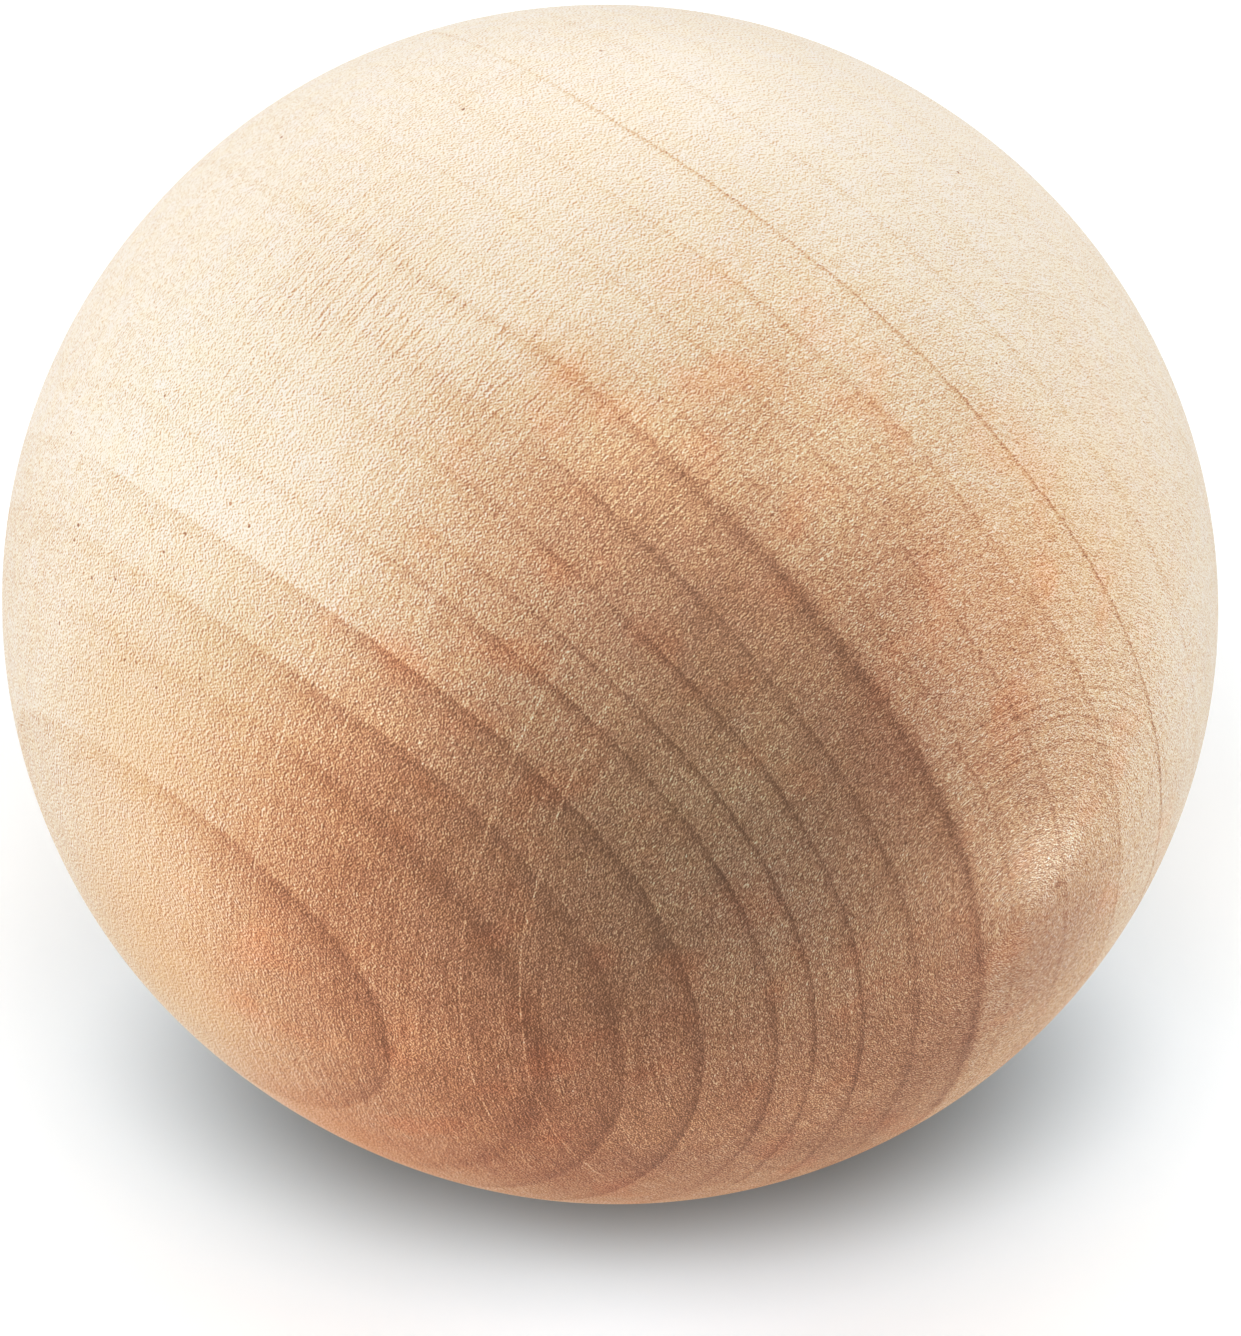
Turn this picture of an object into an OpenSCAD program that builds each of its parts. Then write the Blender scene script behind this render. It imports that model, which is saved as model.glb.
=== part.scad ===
// Turned wooden ball, one solid piece, in millimetres.
// The origin is the ball's centre. +X runs along the axis it was turned about, which is
// also close to the way of the grain. +Y points away from the middle of the tree, so the
// growth rings bulge towards it. +Z is up.
// The ball was turned round and sanded, and then the wood went on drying. It hardly
// shrinks along the grain, shrinks a little across the rings and twice as much along
// them, so the finished ball is slightly shorter across than it is long.

/* [Ball] */
// Diameter along the grain, which stays as it was turned
ball_d = 50; // [20:0.5:100]
// Loss of diameter across the growth rings, as the wood dried
loss_across_rings = 0.6; // [0:0.1:2]
// Loss of diameter along the growth rings, as the wood dried
loss_along_rings = 1.5; // [0:0.1:3]

/* [Hidden] */
// Sides of the circle that stands for the curved surface in a preview
$fn = 128;
// Height and width left after drying
ball_width = ball_d - loss_across_rings;
ball_height = ball_d - loss_along_rings;

// The ball as it was turned, before the wood went on drying
module turned_ball() {
    sphere(d = ball_d);
}

// Draws its child in across the grain, as drying does
module dried() {
    scale([1, ball_width / ball_d, ball_height / ball_d])
        children();
}

module ball() {
    color("burlywood")
        dried()
            turned_ball();
}

ball();
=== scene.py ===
import math
import bmesh
import bpy
from mathutils import Matrix, Vector


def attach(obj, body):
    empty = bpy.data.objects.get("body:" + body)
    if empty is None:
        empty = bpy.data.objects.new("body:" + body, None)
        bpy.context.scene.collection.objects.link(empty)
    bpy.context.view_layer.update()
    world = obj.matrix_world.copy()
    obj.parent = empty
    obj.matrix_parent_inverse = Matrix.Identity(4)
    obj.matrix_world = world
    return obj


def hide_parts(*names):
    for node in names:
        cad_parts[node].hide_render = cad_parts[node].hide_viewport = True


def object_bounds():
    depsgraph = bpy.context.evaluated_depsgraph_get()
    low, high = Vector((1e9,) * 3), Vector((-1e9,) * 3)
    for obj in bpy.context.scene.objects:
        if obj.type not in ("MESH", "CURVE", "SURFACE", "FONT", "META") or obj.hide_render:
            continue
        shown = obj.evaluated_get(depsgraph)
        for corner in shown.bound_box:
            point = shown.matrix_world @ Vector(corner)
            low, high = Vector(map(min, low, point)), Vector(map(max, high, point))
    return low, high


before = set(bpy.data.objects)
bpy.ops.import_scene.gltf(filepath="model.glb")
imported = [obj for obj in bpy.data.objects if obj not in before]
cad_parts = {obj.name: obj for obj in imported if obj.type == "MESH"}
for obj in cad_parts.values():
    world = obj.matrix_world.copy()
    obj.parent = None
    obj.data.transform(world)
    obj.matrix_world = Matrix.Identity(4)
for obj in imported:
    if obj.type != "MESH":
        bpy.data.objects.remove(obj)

# Lengths of the wood's own pattern are in millimetres, all others in metres.
cad_low, cad_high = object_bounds()
CENTRE = (cad_high + cad_low) / 2
HALF = (cad_high - cad_low) / 2

# Size and place of the ball in the photo, in pixels
PHOTO_W = 1241
PHOTO_H = 1336
BALL_X = 610
BALL_Y = 604
BALL_R = 604

# Where the camera stands
VIEW_AZ = math.radians(48.6)
VIEW_EL = math.radians(39)
VIEW_DIST = 0.5
SENSOR_WIDTH = 36
OUTLINE_R = 0.02466

VIEW_RIGHT = Vector((math.cos(VIEW_AZ), math.sin(VIEW_AZ), 0))
VIEW_FLAT = Vector((math.sin(VIEW_AZ), -math.cos(VIEW_AZ), 0))
VIEW_BACK = VIEW_FLAT * math.cos(VIEW_EL) + Vector((0, 0, math.sin(VIEW_EL)))
VIEW_UP = VIEW_BACK.cross(VIEW_RIGHT)


# The ball's mesh

FACE_CUTS = 120
# Shallow flats left by sanding: way in degrees clockwise in the picture, width, depth
FLATS = (
    (121, 20, 0.00011),
    (219, 16, 0.00006),
    (303, 12, 0.00005),
)


def flat_depth(way):
    depth = 0
    for angle, width, most in FLATS:
        turn = math.radians(angle)
        middle = VIEW_RIGHT * math.cos(turn) - VIEW_UP * math.sin(turn)
        apart = math.degrees(way.angle(middle))
        depth = depth + most * math.exp(-(apart / width) ** 2)
    return depth


def ball_mesh():
    bm = bmesh.new()
    bmesh.ops.create_cube(bm, size=2)
    bmesh.ops.subdivide_edges(bm, edges=bm.edges[:], cuts=FACE_CUTS - 1, use_grid_fill=True)
    for v in bm.verts:
        way = Vector([math.tan(c * math.pi / 4) for c in v.co]).normalized()
        skin = Vector([way[i] * HALF[i] for i in range(3)])
        v.co = CENTRE + skin - way * flat_depth(way)
    for face in bm.faces:
        face.smooth = True
    mesh = bpy.data.meshes.new("turned_ball")
    bm.to_mesh(mesh)
    bm.free()
    return mesh


# Short names for shader nodes

def feed(tree, socket, value):
    if isinstance(value, bpy.types.NodeSocket):
        tree.links.new(value, socket)
    else:
        socket.default_value = value


def calc(tree, operation, *values):
    node = tree.nodes.new("ShaderNodeMath")
    node.operation = operation
    for i, value in enumerate(values):
        feed(tree, node.inputs[i], value)
    return node.outputs[0]


def vector_calc(tree, operation, a, b=None, scale=None):
    node = tree.nodes.new("ShaderNodeVectorMath")
    node.operation = operation
    feed(tree, node.inputs[0], a)
    if b is not None:
        feed(tree, node.inputs[1], b)
    if scale is not None:
        feed(tree, node.inputs["Scale"], scale)
    if operation in ("DOT_PRODUCT", "LENGTH", "DISTANCE"):
        return node.outputs["Value"]
    return node.outputs["Vector"]


def remap(tree, value, low, high, out_low=0.0, out_high=1.0, kind="SMOOTHSTEP"):
    node = tree.nodes.new("ShaderNodeMapRange")
    node.interpolation_type = kind
    feed(tree, node.inputs["Value"], value)
    feed(tree, node.inputs["From Min"], low)
    feed(tree, node.inputs["From Max"], high)
    feed(tree, node.inputs["To Min"], out_low)
    feed(tree, node.inputs["To Max"], out_high)
    return node.outputs["Result"]


def join_xyz(tree, x, y, z):
    node = tree.nodes.new("ShaderNodeCombineXYZ")
    feed(tree, node.inputs[0], x)
    feed(tree, node.inputs[1], y)
    feed(tree, node.inputs[2], z)
    return node.outputs[0]


def noise(tree, place, scale, detail=2.0, rough=0.5, most=1.0):
    node = tree.nodes.new("ShaderNodeTexNoise")
    feed(tree, node.inputs["Vector"], place)
    node.inputs["Scale"].default_value = scale
    node.inputs["Detail"].default_value = detail
    node.inputs["Roughness"].default_value = rough
    centred = calc(tree, "SUBTRACT", node.outputs[0], 0.5)
    return calc(tree, "MULTIPLY", centred, 2 * most)


def bell(tree, value, middle, width):
    off = calc(tree, "DIVIDE", calc(tree, "SUBTRACT", value, middle), width)
    return calc(tree, "EXPONENT", calc(tree, "MULTIPLY", calc(tree, "MULTIPLY", off, off), -1.0))


# How far a hump reaches, in widths of the bell curve that it stands in for
HUMP_REACH = 1.75


def hump(tree, away, width):
    # Close to a bell curve of that width, with fewer nodes
    return remap(tree, away, HUMP_REACH * width, 0.0)


def patch(tree, place, middle, radius):
    return hump(tree, vector_calc(tree, "DISTANCE", place, middle), radius)


def spots(tree, place, entries, answer):
    # Soft round spots: middle, radius, strength
    for middle, size, strength in entries:
        spot = patch(tree, place, Vector(middle), size)
        answer = calc(tree, "MULTIPLY_ADD", spot, strength, answer)
    return answer


def fine_lines(tree, value, entries, width):
    # Thin lines where the value comes to each entry: value, strength
    marks = 0.0
    for where, strength in entries:
        away = calc(tree, "ABSOLUTE", calc(tree, "SUBTRACT", value, where))
        marks = calc(tree, "MULTIPLY_ADD", hump(tree, away, width), strength, marks)
    return marks


def total(tree, *values):
    answer = values[0]
    for value in values[1:]:
        answer = calc(tree, "ADD", answer, value)
    return answer


# Grain, growth rings and the dark heart

# Noises in the wood: stretch along the grain, cells per millimetre, extra octaves,
# roughness and strength, in millimetres for the two that bend the rings
CLOUDS = (1.6, 0.22, 2.0, 0.55, 0.20)
MOTTLE = (1.5, 1.6, 1.0, 0.6, 0.05)
FIBRES = (12.0, 5.0, 1.0, 0.6, 0.06)
BROKEN_RINGS = (2.5, 0.5, 2.0, 0.65, 1.0)
YELLOW = (1.6, 1.3, 1.0, 0.7, 1.0)
ROSY = (1.5, 0.4, 1.0, 0.5, 1.0)
RING_WANDER = (4.0, 0.16, 2.0, 0.5, 0.15)
RING_SHIVER = (2.5, 1.6, 2.0, 0.7, 0.11)
YELLOW_TINT = (1.01, 0.99, 0.90)
ROSY_TINT = (1.03, 0.91, 0.86)
# Mean strength of the broken ring lines, and their least
RINGS_MIDDLE = 1.05
RINGS_LEAST = 0.4

# Way of the grain, and the line up the middle of the tree
GRAIN_TILT = math.radians(10.74)
GRAIN = Vector((math.cos(GRAIN_TILT), 0, math.sin(GRAIN_TILT)))
PITH = Vector((1.82, -49.25, -9.56))
OUTWARD = (GRAIN * PITH.dot(GRAIN) - PITH).normalized()
SIDEWAYS = GRAIN.cross(OUTWARD)
# Growth of a ring's radius for each millimetre towards the -X end
TAPER = 0.069
MM_PER_METRE = 1000.0

# Curves, here and below: from, to, and the value at each, or else 0 and 1
# How much the rings close in along the grain, and how wide round the middle ring
PINCH_MIDDLE = 47.5
PINCH_LONG = (9.0, 24.0, 0.0, 1.5)
PINCH_SHORT = (19.0, 25.0, 0.0, 0.35)
PINCH_REACH = (47.0, 52.0, 7.0, 9.2)


def wood_places(tree):
    coords = tree.nodes.new("ShaderNodeTexCoord")
    place = vector_calc(tree, "SCALE", coords.outputs["Object"], scale=MM_PER_METRE)
    from_pith = vector_calc(tree, "SUBTRACT", place, PITH)
    along = vector_calc(tree, "DOT_PRODUCT", place, GRAIN)
    out = vector_calc(tree, "DOT_PRODUCT", from_pith, OUTWARD)
    side = vector_calc(tree, "DOT_PRODUCT", from_pith, SIDEWAYS)
    return place, (along, out, side)


def wood_noise(tree, grain, values):
    along, out, side = grain
    stretch, scale, detail, rough, most = values
    spot = join_xyz(tree, calc(tree, "DIVIDE", along, stretch), out, side)
    return noise(tree, spot, scale, detail, rough, most)


def ring_radius(tree, grain):
    along, out, side = grain
    across = calc(tree, "SQRT", total(tree, calc(tree, "MULTIPLY", out, out),
                                      calc(tree, "MULTIPLY", side, side)))
    radius = calc(tree, "MULTIPLY_ADD", along, TAPER, across)
    # The rings of the middle of the ball close in towards its +X end
    pinch = total(tree, remap(tree, along, *PINCH_LONG), remap(tree, along, *PINCH_SHORT))
    reach = remap(tree, radius, *PINCH_REACH)
    pinch = calc(tree, "MULTIPLY", bell(tree, radius, PINCH_MIDDLE, reach), pinch)
    radius = calc(tree, "ADD", radius, pinch)
    wander = wood_noise(tree, grain, RING_WANDER)
    shiver = wood_noise(tree, grain, RING_SHIVER)
    return total(tree, radius, wander, shiver)


# How far the heart reaches past its mean line, by the distance from the middle of the tree
HEART_NEAR = (28.0, 37.4, 5.5, 2.3)
HEART_NEAR_STEP = (34.7, 35.0, 0.0, -0.9)
HEART_NEAR_ENDS = (37.4, 37.6, 1.0, 0.2)
HEART_FAR = (47.0, 50.4, 0.0, -2.2)
# Where it starts and is at its darkest along the grain
HEART_ALONG = (3.3, 21.6)
# Its strength: full inside one ring, fading outside it, and less on the lower side
HEART_INSIDE = (50.4, 51.3, 1.0, 0.0)
HEART_FADES = (50.6, 63.0, 0.77, 0.16)
HEART_FADE_STEP = (57.4, 57.9, 1.0, 0.75)
HEART_SIDE = (6.0, -6.0, 1.0, 0.92)


def heart_stain(tree, grain, radius):
    # The dark heart reaches in from the +X end, further near the middle of the tree
    along, _, side = grain
    near = remap(tree, radius, *HEART_NEAR, "LINEAR")
    near = calc(tree, "ADD", near, remap(tree, radius, *HEART_NEAR_STEP))
    near = calc(tree, "MULTIPLY", near, remap(tree, radius, *HEART_NEAR_ENDS))
    far = remap(tree, radius, *HEART_FAR)
    dark = remap(tree, total(tree, along, near, far), *HEART_ALONG)
    fade = remap(tree, radius, *HEART_FADES, "LINEAR")
    inside = remap(tree, radius, *HEART_INSIDE)
    fade = calc(tree, "MULTIPLY", fade, remap(tree, radius, *HEART_FADE_STEP))
    rest = calc(tree, "SUBTRACT", 1.0, fade)
    strength = calc(tree, "MULTIPLY_ADD", inside, rest, fade)
    strength = calc(tree, "MULTIPLY", strength, remap(tree, side, *HEART_SIDE))
    return calc(tree, "MULTIPLY", dark, strength)


# The rings nearest the middle of the tree are darker, most of all halfway along the grain
FIRST_RINGS = (37.42, 37.62, 0.10, 0.0)
FIRST_RINGS_START = (-12.0, -1.0, 0.3, 1.0)
FIRST_RINGS_INNER = (34.6, 34.9, 0.04, 0.0)
FIRST_RINGS_END = (10.0, 15.0, 1.0, 0.3)
# The ring after them starts darker near the +X end
NEXT_RING = (37.5, 40.2, 0.10, 0.0)
NEXT_RING_ALONG = (10.0, 15.0)
# The innermost wood of all is darker, and the outer wood is paler
INNERMOST = (28.4, 28.7, 0.11, 0.02)
OUTER_WOOD = (58.0, 66.0, 0.0, -0.14)
OUTER_WOOD_ALONG = (-5.0, 5.0, 0.5, 1.0)
# The wood towards -X is paler too, but less so in the first rings, the outer wood and
# right at the end
PALE_END = (-12.0, 7.0, -0.15, 0.0)
PALE_END_FIRST = (34.0, 38.5, 0.5, 1.0)
PALE_END_TIP = (-24.0, -15.0, 0.2, 1.0)
PALE_END_OUTER = (60.0, 68.0, 1.0, 0.0)


def plain_stain(tree, along, radius):
    near = remap(tree, radius, *FIRST_RINGS)
    near = calc(tree, "MULTIPLY", near, remap(tree, along, *FIRST_RINGS_START))
    near = calc(tree, "ADD", near, remap(tree, radius, *FIRST_RINGS_INNER))
    near = calc(tree, "MULTIPLY", near, remap(tree, along, *FIRST_RINGS_END))
    after = remap(tree, radius, *NEXT_RING, "LINEAR")
    after = calc(tree, "MULTIPLY", after, remap(tree, along, *NEXT_RING_ALONG))
    nearer = remap(tree, radius, *INNERMOST)
    far = remap(tree, radius, *OUTER_WOOD)
    far = calc(tree, "MULTIPLY", far, remap(tree, along, *OUTER_WOOD_ALONG))
    end = remap(tree, along, *PALE_END)
    end = calc(tree, "MULTIPLY", end, remap(tree, radius, *PALE_END_FIRST))
    end = calc(tree, "MULTIPLY", end, remap(tree, along, *PALE_END_TIP))
    end = calc(tree, "MULTIPLY", end, remap(tree, radius, *PALE_END_OUTER))
    return total(tree, near, after, nearer, far, end)


# Growth rings: radius, width of the dark wood before the edge, width of the edge itself,
# and strength in the pale wood and in the dark heart
RINGS = (
    (28.5, 1.2, 0.15, 0.14, 0.26),
    (30.6, 0.2, 0.15, 0.05, 0.05),
    (32.15, 0.9, 0.70, 0.09, 0.20),
    (34.75, 1.4, 0.20, 0.11, 0.22),
    (37.45, 1.1, 0.12, 0.13, 0.26),
    (40.45, 0.7, 0.16, 0.12, 0.28),
    (42.25, 0.4, 0.15, 0.00, 0.30),
    (44.65, 0.5, 0.16, 0.08, 0.25),
    (47.5, 0.8, 0.15, 0.06, 0.18),
    (50.45, 0.7, 0.45, 0.14, 0.20),
    (52.15, 0.2, 0.12, 0.08, 0.14),
    (54.6, 0.25, 0.12, 0.11, 0.18),
    (57.5, 0.3, 0.12, 0.12, 0.15),
    (60.3, 0.25, 0.10, 0.32, 0.55),
    (63.6, 0.5, 0.14, 0.12, 0.16),
    (65.8, 0.3, 0.14, 0.09, 0.10),
    (68.1, 0.2, 0.14, 0.07, 0.07),
    (69.4, 0.4, 0.14, 0.09, 0.09),
    (71.6, 0.4, 0.14, 0.09, 0.09),
    (73.4, 0.3, 0.14, 0.10, 0.10),
)
# Heart stain over which a line goes from its one strength to the other
LINE_IN_HEART = (0.25, 0.95)
# Lines are fainter towards -X, and clearer near both ends of the grain
LINE_ALONG = (-10.0, 10.0, 0.5, 1.0)
LINE_NEAR_END = (16.0, 23.0, 0.0, 0.15)
LINE_FAR_END = (-14.0, -22.0, 0.0, 1.0)


def ring_lines(tree, along, radius, heart, patchy):
    lines = 0.0
    for edge, lead, drop, pale, dark in RINGS:
        rise = remap(tree, radius, edge - lead, edge, kind="LINEAR")
        rise = calc(tree, "POWER", rise, 2.0)
        fall = remap(tree, radius, edge, edge + drop, 1.0, 0.0)
        line = calc(tree, "MULTIPLY", rise, fall)
        strength = remap(tree, heart, *LINE_IN_HEART, pale, dark, "LINEAR")
        lines = calc(tree, "MULTIPLY_ADD", line, strength, lines)
    fainter = total(tree, remap(tree, along, *LINE_ALONG), remap(tree, along, *LINE_NEAR_END),
                    remap(tree, along, *LINE_FAR_END))
    return calc(tree, "MULTIPLY", calc(tree, "MULTIPLY", lines, fainter), patchy)


# Colour of the wood as the stain deepens
STAIN_COLOURS = (
    (0.00, (0.905, 0.820, 0.710)),
    (0.10, (0.865, 0.765, 0.625)),
    (0.20, (0.828, 0.708, 0.545)),
    (0.30, (0.788, 0.642, 0.450)),
    (0.40, (0.755, 0.573, 0.368)),
    (0.50, (0.722, 0.504, 0.300)),
    (0.60, (0.682, 0.436, 0.242)),
    (0.70, (0.635, 0.369, 0.197)),
    (0.80, (0.580, 0.306, 0.160)),
    (0.90, (0.520, 0.251, 0.130)),
    (1.00, (0.460, 0.208, 0.106)),
    (1.10, (0.400, 0.174, 0.088)),
    (1.20, (0.345, 0.147, 0.072)),
    (1.30, (0.300, 0.125, 0.060)),
    (1.50, (0.230, 0.093, 0.043)),
    (1.80, (0.160, 0.062, 0.028)),
)
# The whole ramp covers this much stain, from this far below zero
STAIN_SPAN = 1.8
STAIN_BELOW = 0.15


def stain_colour(tree, stain):
    node = tree.nodes.new("ShaderNodeValToRGB")
    ramp = node.color_ramp
    while len(ramp.elements) > 1:
        ramp.elements.remove(ramp.elements[0])
    for i, (depth, colour) in enumerate(STAIN_COLOURS):
        spot = depth / STAIN_SPAN
        stop = ramp.elements[0] if i == 0 else ramp.elements.new(spot)
        stop.position = spot
        stop.color = (*colour, 1)
    spot = calc(tree, "DIVIDE", calc(tree, "ADD", stain, STAIN_BELOW), STAIN_SPAN)
    feed(tree, node.inputs[0], spot)
    return node.outputs[0]


def tinted(tree, colour, tint, amount):
    node = tree.nodes.new("ShaderNodeMix")
    node.data_type = "RGBA"
    node.blend_type = "MULTIPLY"
    node.clamp_factor = False
    feed(tree, node.inputs["Factor"], amount)
    feed(tree, node.inputs[6], colour)
    feed(tree, node.inputs[7], (*tint, 1))
    return node.outputs[2]


# Marks of turning and sanding

# The line the ball was turned about leans a little from +X
TURN_TILT = math.radians(1.8)
TURN_AXIS = Vector((math.cos(TURN_TILT), 0, -math.sin(TURN_TILT)))
SKIN_R = 24.7


def turning_arc(tree, place):
    # Distance over the skin from the end of the turning axis
    along = vector_calc(tree, "DOT_PRODUCT", place, TURN_AXIS)
    off = vector_calc(tree, "LENGTH", vector_calc(tree, "CROSS_PRODUCT", place, TURN_AXIS))
    return calc(tree, "MULTIPLY", calc(tree, "ARCTAN2", off, along), SKIN_R)


def turned_noise(tree, arc, place, across, round_turn, detail, rough, most):
    # Strokes that run round the turning axis: cells per millimetre both ways
    stretch = vector_calc(tree, "MULTIPLY", place, Vector((0, round_turn, round_turn)))
    shift = join_xyz(tree, calc(tree, "MULTIPLY", arc, across), 0.0, 0.0)
    spot = vector_calc(tree, "ADD", stretch, shift)
    return noise(tree, spot, 1.0, detail, rough, most)


# Fine short strokes all over: cells per millimetre across and along them, how much the
# cells across thin out for each millimetre from the turning axis, strength, and the step
# in cells between their light side and their dark side
SPECKLE_ACROSS = 15.0
SPECKLE_ALONG = 11.0
SPECKLE_THINS = 0.065
SPECKLE_MOST = 0.74
SPECKLE_SHIFT = 0.67
# They are a little stronger on the side that faces the middle of the tree and near the
# axis end
TREE_SIDE = Vector((0, -1, 0))
SPECKLE_TREE_SIDE = (8.0, 20.0, 1.0, 1.2)
SPECKLE_AXIS_END = (8.0, 24.0, 1.25, 1.0)


def turned_speckle(tree, arc, place):
    # Each stroke has a light side and a dark side, so none reads as a broad blotch
    cells = calc(tree, "MULTIPLY_ADD", arc, -SPECKLE_THINS, SPECKLE_ACROSS)
    cells = calc(tree, "MULTIPLY", arc, cells)
    beside = calc(tree, "ADD", cells, SPECKLE_SHIFT)
    one = turned_noise(tree, cells, place, 1.0, SPECKLE_ALONG, 0.0, 0.5, SPECKLE_MOST)
    other = turned_noise(tree, beside, place, 1.0, SPECKLE_ALONG, 0.0, 0.5, SPECKLE_MOST)
    speckle = calc(tree, "SUBTRACT", one, other)
    side = vector_calc(tree, "DOT_PRODUCT", place, TREE_SIDE)
    stronger = calc(tree, "MULTIPLY", remap(tree, side, *SPECKLE_TREE_SIDE),
                    remap(tree, arc, *SPECKLE_AXIS_END))
    return calc(tree, "MULTIPLY", speckle, stronger)


# Fine marks of sanding while the ball turned: cells per millimetre across and along them,
# extra octaves, roughness and strength
SANDING = (12.0, 0.30, 1.0, 0.6, 0.24)
# Where they are clearer: middle, radius, extra strength
SANDING_CLEARER = (
    ((12.0, -19.0, -7.0), 10.0, 1.0),
)

# Longer scratches round the ball: distance from the end of the turning axis, strength
SCRATCHES = (
    (21.4, 0.38),
    (22.1, 0.14),
    (23.8, 0.26),
    (32.9, 0.16),
    (34.1, 0.10),
    (27.4, 0.10),
)
SCRATCH_WIDTH = 0.045
SCRATCH_DRIFT = -0.035
# Noises that bend them and break them: cells per millimetre, extra octaves, roughness
# and strength
SCRATCH_BENDS = (0.4, 1.0, 0.5, 0.18)
SCRATCH_BREAKS = (0.5, 2.0, 0.7, 1.0)
SCRATCH_KEPT = (-0.35, 0.15, 0.0, 1.3)
# They run over the side that faces the middle of the tree
SCRATCH_SIDE = (-12.5, -15.5)

# Fine dark circles close round the end of the turning axis: distance, strength
CIRCLES = (
    (6.2, 0.14),
    (6.8, 0.12),
    (7.4, 0.20),
    (8.1, 0.14),
    (8.4, 0.28),
    (9.1, 0.20),
    (9.6, 0.16),
)
CIRCLE_WIDTH = 0.06
CIRCLE_BENDS = (0.5, 1.0, 0.5, 0.15)
# They show on the upper side
CIRCLE_ABOVE = Vector((0, 0.5, 0.85))
CIRCLE_SIDE = (1.5, 5.5)


def sanding_marks(tree, arc, place):
    marks = turned_noise(tree, arc, place, *SANDING)
    return calc(tree, "MULTIPLY", marks, spots(tree, place, SANDING_CLEARER, 1.0))


def long_scratches(tree, arc, place):
    # They drift a little down
    parts = tree.nodes.new("ShaderNodeSeparateXYZ")
    feed(tree, parts.inputs[0], place)
    arc = calc(tree, "MULTIPLY_ADD", parts.outputs[2], SCRATCH_DRIFT, arc)
    arc = calc(tree, "ADD", arc, noise(tree, place, *SCRATCH_BENDS))
    marks = fine_lines(tree, arc, SCRATCHES, SCRATCH_WIDTH)
    broken = noise(tree, place, *SCRATCH_BREAKS)
    kept = calc(tree, "MULTIPLY", remap(tree, broken, *SCRATCH_KEPT),
                remap(tree, parts.outputs[1], *SCRATCH_SIDE))
    return calc(tree, "MULTIPLY", marks, kept)


def end_circles(tree, arc, place):
    arc = calc(tree, "ADD", arc, noise(tree, place, *CIRCLE_BENDS))
    marks = fine_lines(tree, arc, CIRCLES, CIRCLE_WIDTH)
    above = vector_calc(tree, "DOT_PRODUCT", place, CIRCLE_ABOVE)
    return calc(tree, "MULTIPLY", marks, remap(tree, above, *CIRCLE_SIDE))


# Strokes of torn grain: cells per millimetre across and along them, extra octaves,
# roughness and strength
TORN_STROKES = (7.2, 0.8, 0.0, 0.5, 2.0)
# Step in millimetres between their dark side and their light side, and the lightest of it
TORN_SHIFT = 0.085
TORN_LIGHTEST = -0.2
# Strength away from the torn places
TORN_ANYWHERE = 0.035
# Places where the grain was torn a little: middle, radius, strength
TORN = (
    ((-3.5, -10.9, 21.5), 3.6, 0.23),
    ((-3.5, -13.9, 19.8), 3.2, 0.18),
    ((0.6, -11.6, 21.2), 3.4, 0.21),
    ((4.6, -12.9, 20.1), 3.4, 0.16),
    ((-8.4, -11.7, 19.8), 2.5, 0.08),
    ((5.5, -9.0, 21.9), 3.0, 0.12),
    ((9.8, -10.0, 20.0), 3.4, 0.12),
    ((14.1, -6.7, 18.9), 3.5, 0.14),
    ((18.5, -1.5, 16.4), 3.0, 0.11),
    ((23.9, 3.0, 5.0), 4.5, 0.08),
)

# Small dark marks: middle, radius, strength
MARKS = (
    ((24.9, 1.8, -0.2), 0.26, 0.32),
    ((24.5, 4.6, -1.1), 0.26, 0.26),
)


def torn_grain(tree, arc, place):
    one = turned_noise(tree, arc, place, *TORN_STROKES)
    beside = calc(tree, "ADD", arc, TORN_SHIFT)
    other = turned_noise(tree, beside, place, *TORN_STROKES)
    strokes = calc(tree, "MAXIMUM", calc(tree, "SUBTRACT", one, other), TORN_LIGHTEST)
    return calc(tree, "MULTIPLY", strokes, spots(tree, place, TORN, TORN_ANYWHERE))


# Open pores: dark dots, thick on one patch and rare elsewhere
PORE_GAP = 0.7
PORE_R = 0.09
PORE_PATCH = ((-4.5, -20.5, 12.5), 6.0)
# Share of the places that hold a pore, extra on the patch and everywhere
PORE_THICK = 0.35
PORE_RARE = 0.012


def pores(tree, place):
    node = tree.nodes.new("ShaderNodeTexVoronoi")
    feed(tree, node.inputs["Vector"], place)
    node.inputs["Scale"].default_value = 1 / PORE_GAP
    away = calc(tree, "MULTIPLY", node.outputs["Distance"], PORE_GAP)
    dot = remap(tree, away, PORE_R * 1.2, PORE_R * 0.5)
    parts = tree.nodes.new("ShaderNodeSeparateXYZ")
    feed(tree, parts.inputs[0], node.outputs["Color"])
    middle, size = PORE_PATCH
    inside = patch(tree, place, Vector(middle), size)
    chance = calc(tree, "MULTIPLY_ADD", inside, PORE_THICK, PORE_RARE)
    kept = calc(tree, "LESS_THAN", parts.outputs[0], chance)
    return calc(tree, "MULTIPLY", dot, kept)


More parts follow.
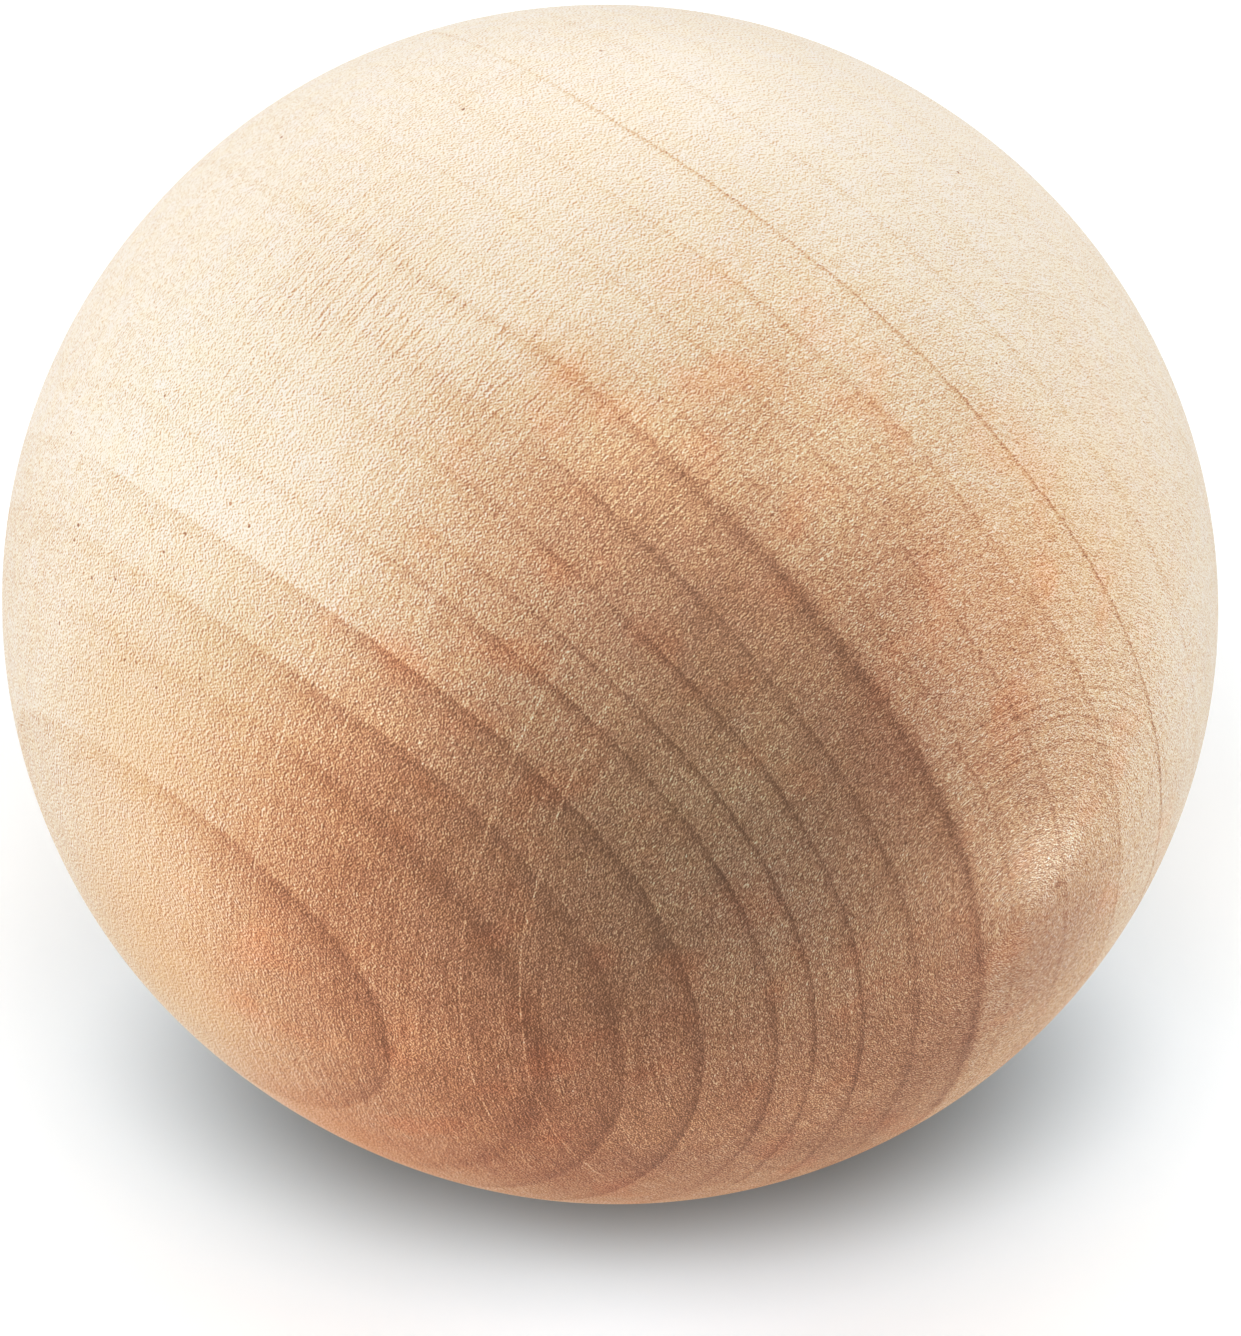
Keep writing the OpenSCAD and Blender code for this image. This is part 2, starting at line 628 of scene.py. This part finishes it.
# Soft patches of another tint: place, radius, tint. Among them are painted shade and warm bounce
# along the lower side of the ball, and painted sheen, marked below
TINT_PATCHES_AND_PAINTED_LIGHT = (
    ((20.3, -12.2, 7.5), 9.0, (0.70, 0.92, 1.02)),
    # The next six: painted shade and warm bounce from the floor, darker and more orange along
    # the lower left and the bottom of the ball
    ((7.0, -23.6, -2.3), 9.0, (1.12, 1.01, 0.94)),
    ((16.6, -15.1, -10.4), 9.0, (1.04, 0.97, 0.95)),
    ((6.6, -19.4, -13.6), 5.0, (0.95, 0.64, 0.48)),
    ((14.0, -13.5, -15.3), 4.5, (0.87, 0.72, 0.64)),
    ((14.0, -17.7, -10.0), 4.0, (1.02, 0.90, 0.80)),
    ((-0.2, -23.7, -6.0), 5.0, (0.96, 0.85, 0.70)),
    ((-1.0, -23.8, 5.4), 4.5, (0.96, 0.89, 0.79)),
    ((2.0, -21.8, 11.0), 2.8, (0.96, 0.94, 0.87)),
    ((7.5, -22.0, 8.3), 4.0, (1.04, 1.01, 0.96)),
    ((12.5, -20.8, -5.0), 3.2, (1.11, 1.11, 1.08)),
    ((13.0, -21.0, 1.5), 2.5, (1.06, 1.09, 1.12)),
    ((10.2, -20.0, 10.2), 3.4, (1.13, 1.17, 1.20)),
    ((18.1, -15.8, 6.0), 2.6, (0.95, 0.93, 0.92)),
    ((18.6, -16.1, -2.0), 3.0, (0.96, 0.94, 0.92)),
    ((19.0, -14.0, -7.6), 2.5, (1.24, 1.34, 1.34)),
    ((18.4, -11.4, 11.0), 3.6, (1.09, 1.09, 1.08)),
    ((14.2, -15.9, 12.5), 1.8, (0.92, 0.91, 0.91)),
    ((21.8, -8.6, -8.6), 3.8, (1.10, 1.12, 1.11)),
    ((17.5, -9.2, 14.8), 2.0, (1.06, 1.07, 1.08)),
    ((23.4, 0.5, 7.0), 4.0, (0.96, 0.96, 0.97)),
    ((21.9, -10.8, 4.5), 3.2, (0.86, 0.80, 0.82)),
    ((22.4, -5.4, 9.2), 3.0, (0.93, 0.86, 0.87)),
    ((18.0, -8.2, 14.8), 2.4, (1.14, 1.16, 1.16)),
    ((13.0, -9.6, 18.3), 3.0, (1.22, 1.30, 1.28)),
    ((8.1, -9.0, 21.2), 1.8, (0.98, 0.89, 0.82)),
    ((16.4, -3.2, 18.2), 3.2, (1.07, 1.11, 1.12)),
    # Painted sheen: lighter and whiter where the left softbox's highlight falls
    ((-6.0, -17.8, 15.4), 6.0, (1.00, 1.03, 1.04)),
    ((12.5, -0.1, 21.0), 5.0, (1.05, 1.05, 1.05)),
    ((21.6, -0.5, 11.7), 4.5, (0.99, 0.93, 0.92)),
    ((20.8, 4.0, 13.0), 4.5, (1.00, 0.95, 0.89)),
    ((19.5, 8.6, 11.5), 6.0, (1.00, 0.95, 0.89)),
    ((24.5, 0.8, -3.5), 4.0, (0.84, 0.80, 0.82)),
    ((24.6, 2.3, -3.6), 2.4, (0.94, 0.90, 0.90)),
    # The next two: a pale blotch of end grain with a painted sheen on it, whiter and bluer, near
    # the +X end
    ((24.6, -2.4, 2.6), 2.6, (1.08, 1.12, 1.17)),
    ((24.9, 1.3, 1.5), 1.7, (1.25, 1.42, 1.60)),
)


# The wood's material

WOOD_SHINE = 0.3
ROUGH = 0.55
ROUGH_VARIES = 0.15
BUMP_STRENGTH = 0.4
BUMP_DEPTH = 0.00002
# Strength of the fine marks and of the clouds as the heart gets darker
FINE_IN_HEART = (0.0, 0.8, 0.85, 0.92)
CLOUDS_IN_HEART = (0.0, 0.8, 0.35, 1.0)
# The rosy tint comes and goes, and only in the stained wood
ROSY_PLACES = (0.05, 0.5)
ROSY_IN_HEART = (0.03, 0.3)


def fine_marks(tree, place, grain, heart, arc, speckle):
    sanding = sanding_marks(tree, arc, place)
    torn = torn_grain(tree, arc, place)
    fibres = wood_noise(tree, grain, FIBRES)
    mottle = wood_noise(tree, grain, MOTTLE)
    circles = end_circles(tree, arc, place)
    fine = total(tree, sanding, speckle, torn, fibres, mottle, circles)
    return calc(tree, "MULTIPLY", fine, remap(tree, heart, *FINE_IN_HEART, "LINEAR"))


def wood_stain(tree, place, grain, heart, radius, arc, speckle):
    along = grain[0]
    patchy = calc(tree, "ADD", wood_noise(tree, grain, BROKEN_RINGS), RINGS_MIDDLE)
    patchy = calc(tree, "MAXIMUM", patchy, RINGS_LEAST)
    lines = ring_lines(tree, along, radius, heart, patchy)
    clouds = wood_noise(tree, grain, CLOUDS)
    clouds = calc(tree, "MULTIPLY", clouds, remap(tree, heart, *CLOUDS_IN_HEART, "LINEAR"))
    fine = fine_marks(tree, place, grain, heart, arc, speckle)
    # Long scratches are paler than the wood round them
    marks = calc(tree, "MULTIPLY", long_scratches(tree, arc, place), -1.0)
    stain = total(tree, heart, plain_stain(tree, along, radius), lines, clouds, fine, marks)
    return total(tree, stain, pores(tree, place), spots(tree, place, MARKS, 0.0))


def wood_colour(tree, place, grain, heart, stain):
    colour = stain_colour(tree, stain)
    # Patches of another tint, with painted shade along the lower side and painted sheen among
    # them
    for middle, size, tint in TINT_PATCHES_AND_PAINTED_LIGHT:
        colour = tinted(tree, colour, tint, patch(tree, place, Vector(middle), size))
    colour = tinted(tree, colour, YELLOW_TINT, wood_noise(tree, grain, YELLOW))
    rosy = remap(tree, wood_noise(tree, grain, ROSY), *ROSY_PLACES)
    rosy = calc(tree, "MULTIPLY", rosy, remap(tree, heart, *ROSY_IN_HEART))
    return tinted(tree, colour, ROSY_TINT, rosy)


def wood_skin(tree, bsdf, speckle):
    # The dark side of a stroke is rougher and lies a little lower
    bsdf.inputs["Specular IOR Level"].default_value = WOOD_SHINE
    rough = calc(tree, "MULTIPLY_ADD", speckle, ROUGH_VARIES, ROUGH)
    feed(tree, bsdf.inputs["Roughness"], rough)
    bump = tree.nodes.new("ShaderNodeBump")
    bump.inputs["Strength"].default_value = BUMP_STRENGTH
    bump.inputs["Distance"].default_value = BUMP_DEPTH
    feed(tree, bump.inputs["Height"], calc(tree, "MULTIPLY", speckle, -1.0))
    feed(tree, bsdf.inputs["Normal"], bump.outputs[0])


def wood_material():
    mat = bpy.data.materials.new("turned_wood")
    mat.use_nodes = True
    tree = mat.node_tree
    bsdf = tree.nodes["Principled BSDF"]
    place, grain = wood_places(tree)
    radius = ring_radius(tree, grain)
    heart = heart_stain(tree, grain, radius)
    arc = turning_arc(tree, place)
    speckle = turned_speckle(tree, arc, place)
    stain = wood_stain(tree, place, grain, heart, radius, arc, speckle)
    feed(tree, bsdf.inputs["Base Color"], wood_colour(tree, place, grain, heart, stain))
    wood_skin(tree, bsdf, speckle)
    return mat


# Floor and lamps

FLOOR_SIZE = 6
FLOOR_ROUGH = 0.9
# Colour of the floor as the camera sees it, far off and near the ball
FLOOR_SEEN = (0.965, 0.985, 1.0)
FLOOR_SEEN_NEAR = (0.80, 0.975, 1.13)
# Its glow for the camera near the ball, and where that starts to rise and reaches white
FLOOR_GLOW = 0.07
WHITE_FROM = 0.07
WHITE_TO = 0.25
# Colour of the light the floor throws back, near the ball and further off; near the ball it is
# darker and orange, painted shade and warm bounce under the ball
FLOOR_LIT_PAINTED_SHADE_NEAR = (0.86, 0.60, 0.46)
FLOOR_LIT_FAR = (0.88, 0.88, 0.88)
# Where the near colours end, where the far ones start, and their squeeze away from the
# camera
TINT_NEAR = 0.008
TINT_FAR = 0.032
TINT_SQUEEZE = 1.25
# Painted part of the soft shadow: where it is deepest and where it ends, the share of
# light left, its squeeze away from the camera and its shift to the right
SHADOW_CORE = 0.008
SHADOW_END = 0.024
SHADOW_LEFT = 0.13
SHADOW_SQUEEZE = 1.60
SHADOW_ASIDE = 0.0006
# Its faint outer part, the same way
FAINT_CORE = 0.018
FAINT_END = 0.037
FAINT_LEFT = 0.85
FAINT_ASIDE = -0.0018


def blend(tree, amount, low, high):
    node = tree.nodes.new("ShaderNodeMix")
    node.data_type = "RGBA"
    feed(tree, node.inputs["Factor"], amount)
    feed(tree, node.inputs[6], low)
    feed(tree, node.inputs[7], high)
    return node.outputs[2]


def floor_distance(tree, squeeze, aside):
    coords = tree.nodes.new("ShaderNodeTexCoord")
    place = coords.outputs["Object"]
    across = calc(tree, "SUBTRACT", vector_calc(tree, "DOT_PRODUCT", place, VIEW_RIGHT), aside)
    deep = vector_calc(tree, "DOT_PRODUCT", place, VIEW_FLAT * squeeze)
    return vector_calc(tree, "LENGTH", join_xyz(tree, across, deep, 0.0))


def floor_material():
    mat = bpy.data.materials.new("white_floor")
    mat.use_nodes = True
    tree = mat.node_tree
    bsdf = tree.nodes["Principled BSDF"]
    seen = tree.nodes.new("ShaderNodeLightPath").outputs["Is Camera Ray"]
    away = floor_distance(tree, SHADOW_SQUEEZE, SHADOW_ASIDE)
    deep = remap(tree, away, SHADOW_CORE, SHADOW_END, SHADOW_LEFT, 1.0)
    away = floor_distance(tree, SHADOW_SQUEEZE, FAINT_ASIDE)
    faint = remap(tree, away, FAINT_CORE, FAINT_END, FAINT_LEFT, 1.0)
    shadow = calc(tree, "MULTIPLY", deep, faint)
    away = floor_distance(tree, TINT_SQUEEZE, SHADOW_ASIDE)
    far = remap(tree, away, TINT_NEAR, TINT_FAR)
    # The shadow is neutral in the photo, so the ball's warm light is taken out of it
    tint = blend(tree, far, (*FLOOR_SEEN_NEAR, 1), (*FLOOR_SEEN, 1))
    colour = vector_calc(tree, "SCALE", tint, scale=shadow)
    # Rays other than the camera's see the floor darker and orange near the ball: painted shade
    # and warm bounce under the ball
    bounce_with_painted_shade = blend(tree, far, (*FLOOR_LIT_PAINTED_SHADE_NEAR, 1), (*FLOOR_LIT_FAR, 1))
    feed(tree, bsdf.inputs["Base Color"], blend(tree, seen, bounce_with_painted_shade, colour))
    # Further off the floor is as white as the backdrop
    away = floor_distance(tree, 1.0, 0.0)
    glow = remap(tree, away, WHITE_FROM, WHITE_TO, FLOOR_GLOW, 1.0)
    glow = calc(tree, "MULTIPLY", calc(tree, "MULTIPLY", shadow, glow), seen)
    bsdf.inputs["Emission Color"].default_value = (1, 1, 1, 1)
    feed(tree, bsdf.inputs["Emission Strength"], glow)
    bsdf.inputs["Roughness"].default_value = FLOOR_ROUGH
    bsdf.inputs["Specular IOR Level"].default_value = 0
    return mat


# Strength of the world's light on the ball; the camera sees it at full strength
WORLD_LIGHT = 0.1


def white_world():
    world = bpy.data.worlds.new("white_room")
    bpy.context.scene.world = world
    world.use_nodes = True
    tree = world.node_tree
    backdrop = tree.nodes["Background"]
    backdrop.inputs["Color"].default_value = (1, 1, 1, 1)
    rays = tree.nodes.new("ShaderNodeLightPath")
    seen = rays.outputs["Is Camera Ray"]
    strength = remap(tree, seen, 0.0, 1.0, WORLD_LIGHT, 1.0, "LINEAR")
    feed(tree, backdrop.inputs["Strength"], strength)


def show(name, data):
    thing = bpy.data.objects.new(name, data)
    bpy.context.scene.collection.objects.link(thing)
    return thing


# Softboxes: turn from the camera's side, height, half width and half height in degrees,
# and brightness
SOFTBOXES = {
    "key": (0, 55, 18, 13, 7.2),
    "back": (180, 30, 30, 18, 3.5),
    "left": (-78, 24, 24, 16, 4.3),
    "right": (80, 22, 24, 16, 3.4),
}
LAMP_DIST = 0.6


def softbox(name, turn, height, half_w, half_h, bright):
    turn = math.radians(turn)
    height = math.radians(height)
    flat = VIEW_FLAT * math.cos(turn) + VIEW_RIGHT * math.sin(turn)
    way = flat * math.cos(height) + Vector((0, 0, math.sin(height)))
    data = bpy.data.lights.new(name, "AREA")
    data.shape = "ELLIPSE"
    data.size = 2 * LAMP_DIST * math.tan(math.radians(half_w))
    data.size_y = 2 * LAMP_DIST * math.tan(math.radians(half_h))
    # The watts that give the whole ellipse this brightness
    data.energy = bright * math.pi ** 2 * data.size * data.size_y / 4
    lamp = show(name, data)
    x = Vector((0, 0, 1)).cross(way).normalized()
    stand = Matrix((x, way.cross(x), way)).transposed().to_4x4()
    stand.translation = way * LAMP_DIST
    lamp.matrix_world = stand
    lamp.visible_camera = False


def camera():
    data = bpy.data.cameras.new("camera")
    cam = show("camera", data)
    sine = OUTLINE_R / VIEW_DIST
    tangent = sine / math.sqrt(1 - sine ** 2)
    data.sensor_width = SENSOR_WIDTH
    data.lens = BALL_R / tangent * SENSOR_WIDTH / PHOTO_H
    # The picture's middle is a little below the ball's
    aside = (PHOTO_W / 2 - BALL_X) * tangent / BALL_R
    above = (BALL_Y - PHOTO_H / 2) * tangent / BALL_R
    look = VIEW_RIGHT * aside + VIEW_UP * above - VIEW_BACK
    cam.location = VIEW_BACK * VIEW_DIST
    cam.rotation_mode = "QUATERNION"
    cam.rotation_quaternion = (-look).to_track_quat("Z", "Y")
    bpy.context.scene.camera = cam


ball = show("turned_ball", ball_mesh())
ball.data.materials.append(wood_material())
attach(ball, "root")
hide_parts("ball")

bpy.ops.mesh.primitive_plane_add(size=FLOOR_SIZE, location=(0, 0, cad_low.z))
floor = bpy.context.active_object
floor.name = "floor"
floor.data.materials.append(floor_material())

white_world()
for name, values in SOFTBOXES.items():
    softbox(name, *values)
camera()
bpy.context.scene.view_settings.view_transform = "Standard"
